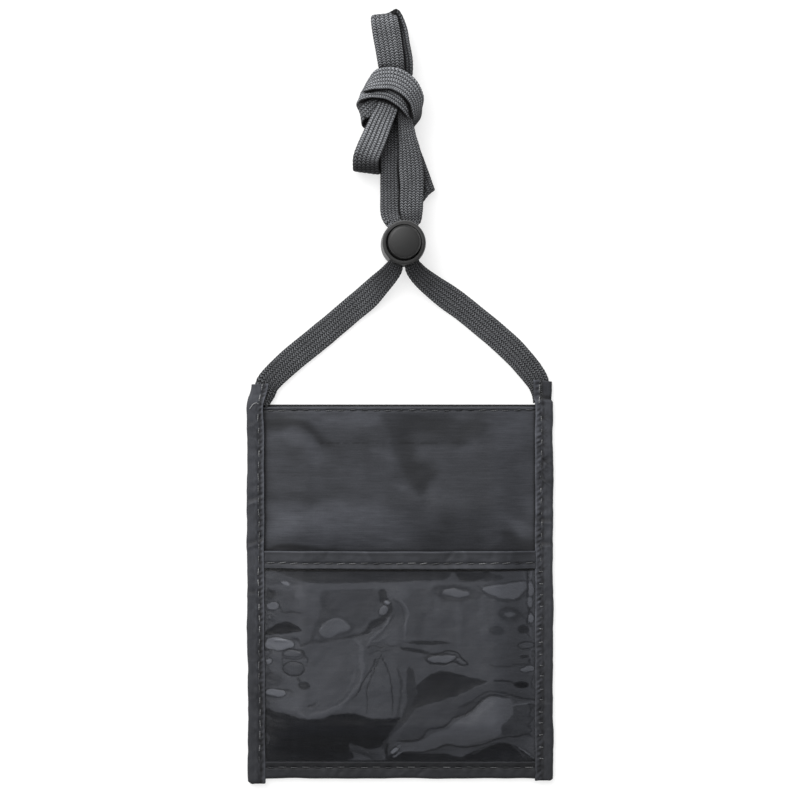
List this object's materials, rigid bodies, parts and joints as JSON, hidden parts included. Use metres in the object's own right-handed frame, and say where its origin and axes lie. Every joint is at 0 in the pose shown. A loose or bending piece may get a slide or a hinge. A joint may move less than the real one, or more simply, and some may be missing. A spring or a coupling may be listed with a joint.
{
  "type": "id badge wallet",
  "caption": "Flat fabric neck wallet with an open main pocket, a clear front window pocket, and a knotted flat braided lanyard through a sprung round cord lock.",
  "frame": {"origin": "middle of the pouch's footprint, on the surface that its back lies on", "axes": "+X to the right across the pouch, +Y up the pouch towards the lanyard, +Z out of the clear window towards the viewer"},
  "size_m": [0.1226, 0.308, 0.0153],
  "materials": {
    "pouch_fabric": "fine plain-woven nylon, charcoal grey, slight sheen",
    "binding_fabric": "folded nylon tape, charcoal grey",
    "window_film": "clear glossy flexible film, creased",
    "thread": "grey polyester sewing thread",
    "braid": "flat braided polyester lace, mid grey, ribbed",
    "lock_plastic": "moulded black plastic, matt",
    "spring_steel": "bright spring wire"
  },
  "bodies": {
    "pouch": {"back_panel": "pouch_fabric", "front_panel": "pouch_fabric", "window_film": "window_film", "window_mouth_band": "binding_fabric", "bottom_band": "binding_fabric", "left_side_binding": "binding_fabric", "right_side_binding": "binding_fabric", "hem_seam": "thread", "mouth_band_seam": "thread", "bottom_seam": "thread", "left_binding_seam": "thread", "right_binding_seam": "thread", "left_strap_tack": "thread", "right_strap_tack": "thread", "cord_left_leg": "braid", "cord_right_leg": "braid", "cord_knotted_loop": "braid"},
    "cord_lock": {"lock_barrel": "lock_plastic", "lock_spring": "spring_steel"},
    "push_button": {"lock_button": "lock_plastic"}
  },
  "joints": [
    {"name": "lock_slide", "type": "slide", "parent": "pouch", "child": "cord_lock", "axis": [0, 1, 0], "range_m": [-0.02, 0.01], "deforming": ["cord_left_leg", "cord_right_leg", "cord_knotted_loop"]},
    {"name": "button_press", "type": "slide", "parent": "cord_lock", "child": "push_button", "axis": [0, 0, -1], "range_m": [0, 0.002], "stiffness_N_per_m": 900, "springref_m": -0.002, "deforming": ["lock_spring"]}
  ]
}
